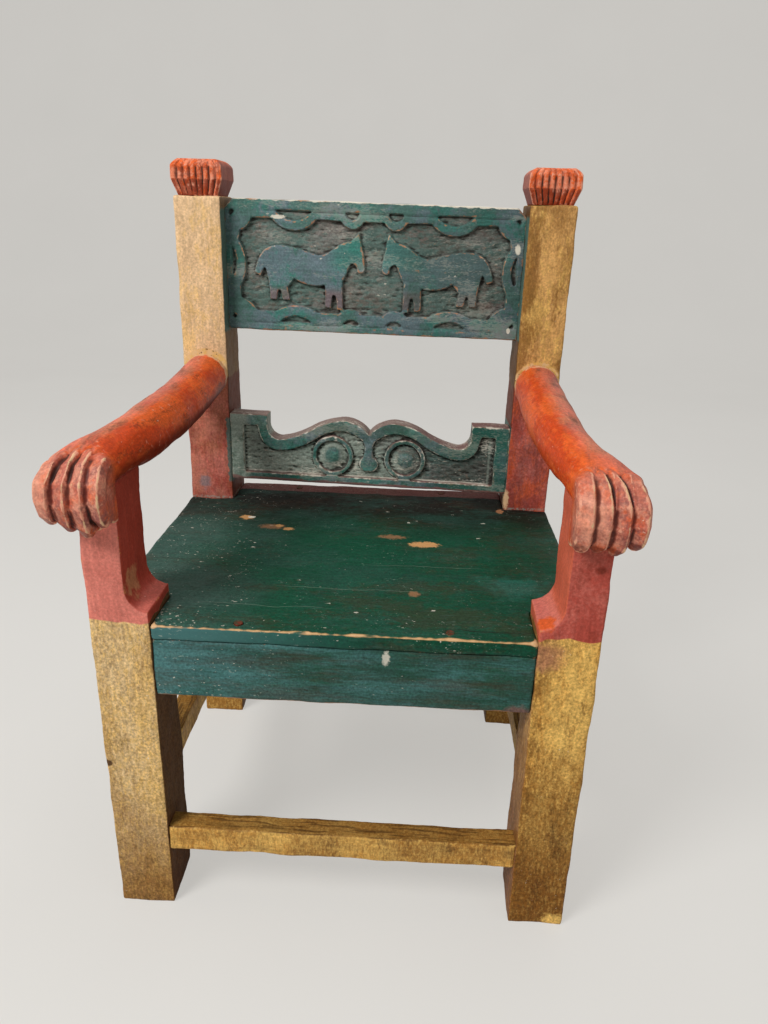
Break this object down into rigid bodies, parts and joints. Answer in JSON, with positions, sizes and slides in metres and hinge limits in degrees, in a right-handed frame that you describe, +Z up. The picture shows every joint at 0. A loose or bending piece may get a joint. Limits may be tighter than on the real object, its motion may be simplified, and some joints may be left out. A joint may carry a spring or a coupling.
{
  "type": "child chair",
  "caption": "Child's painted wooden armchair with square posts, a plank seat, carved back rails with facing burros and rosettes, fluted finials and round arms ending in carved paws.",
  "frame": {"origin": "on the floor under the middle of the chair's bounding box", "axes": "+Z up, the front faces -Y, +X to the right of a viewer who stands in front"},
  "size_m": [0.4542, 0.4037, 0.678],
  "materials": {
    "front_posts": "worn golden-ochre paint, brick red between seat and arm",
    "back_posts": "worn cream-ochre paint, brick red between seat and arm",
    "arms": "worn orange-red paint",
    "finials": "worn orange-red paint with dark flutes",
    "seat_rails": "worn teal-green paint",
    "stretchers": "worn golden-ochre paint",
    "seat": "worn dark green paint",
    "back_rails": "worn grey-teal paint rubbed pale on the raised carving",
    "pegs": "reddish bare wood"
  },
  "bodies": {
    "root": {"front_post_right": "front_posts", "front_post_left": "front_posts", "back_post_right": "back_posts", "back_post_left": "back_posts", "arm_right": "arms", "arm_left": "arms", "finial_right": "finials", "finial_left": "finials", "side_seat_rail_right": "seat_rails", "side_seat_rail_left": "seat_rails", "front_seat_rail": "seat_rails", "rear_seat_rail": "seat_rails", "side_stretcher_right": "stretchers", "side_stretcher_left": "stretchers", "front_stretcher": "stretchers", "rear_stretcher": "stretchers", "seat_board": "seat", "upper_back_rail": "back_rails", "lower_back_rail": "back_rails", "seat_pegs": "pegs", "back_rail_pegs": "pegs", "arm_pegs": "pegs"}
  },
  "joints": []
}
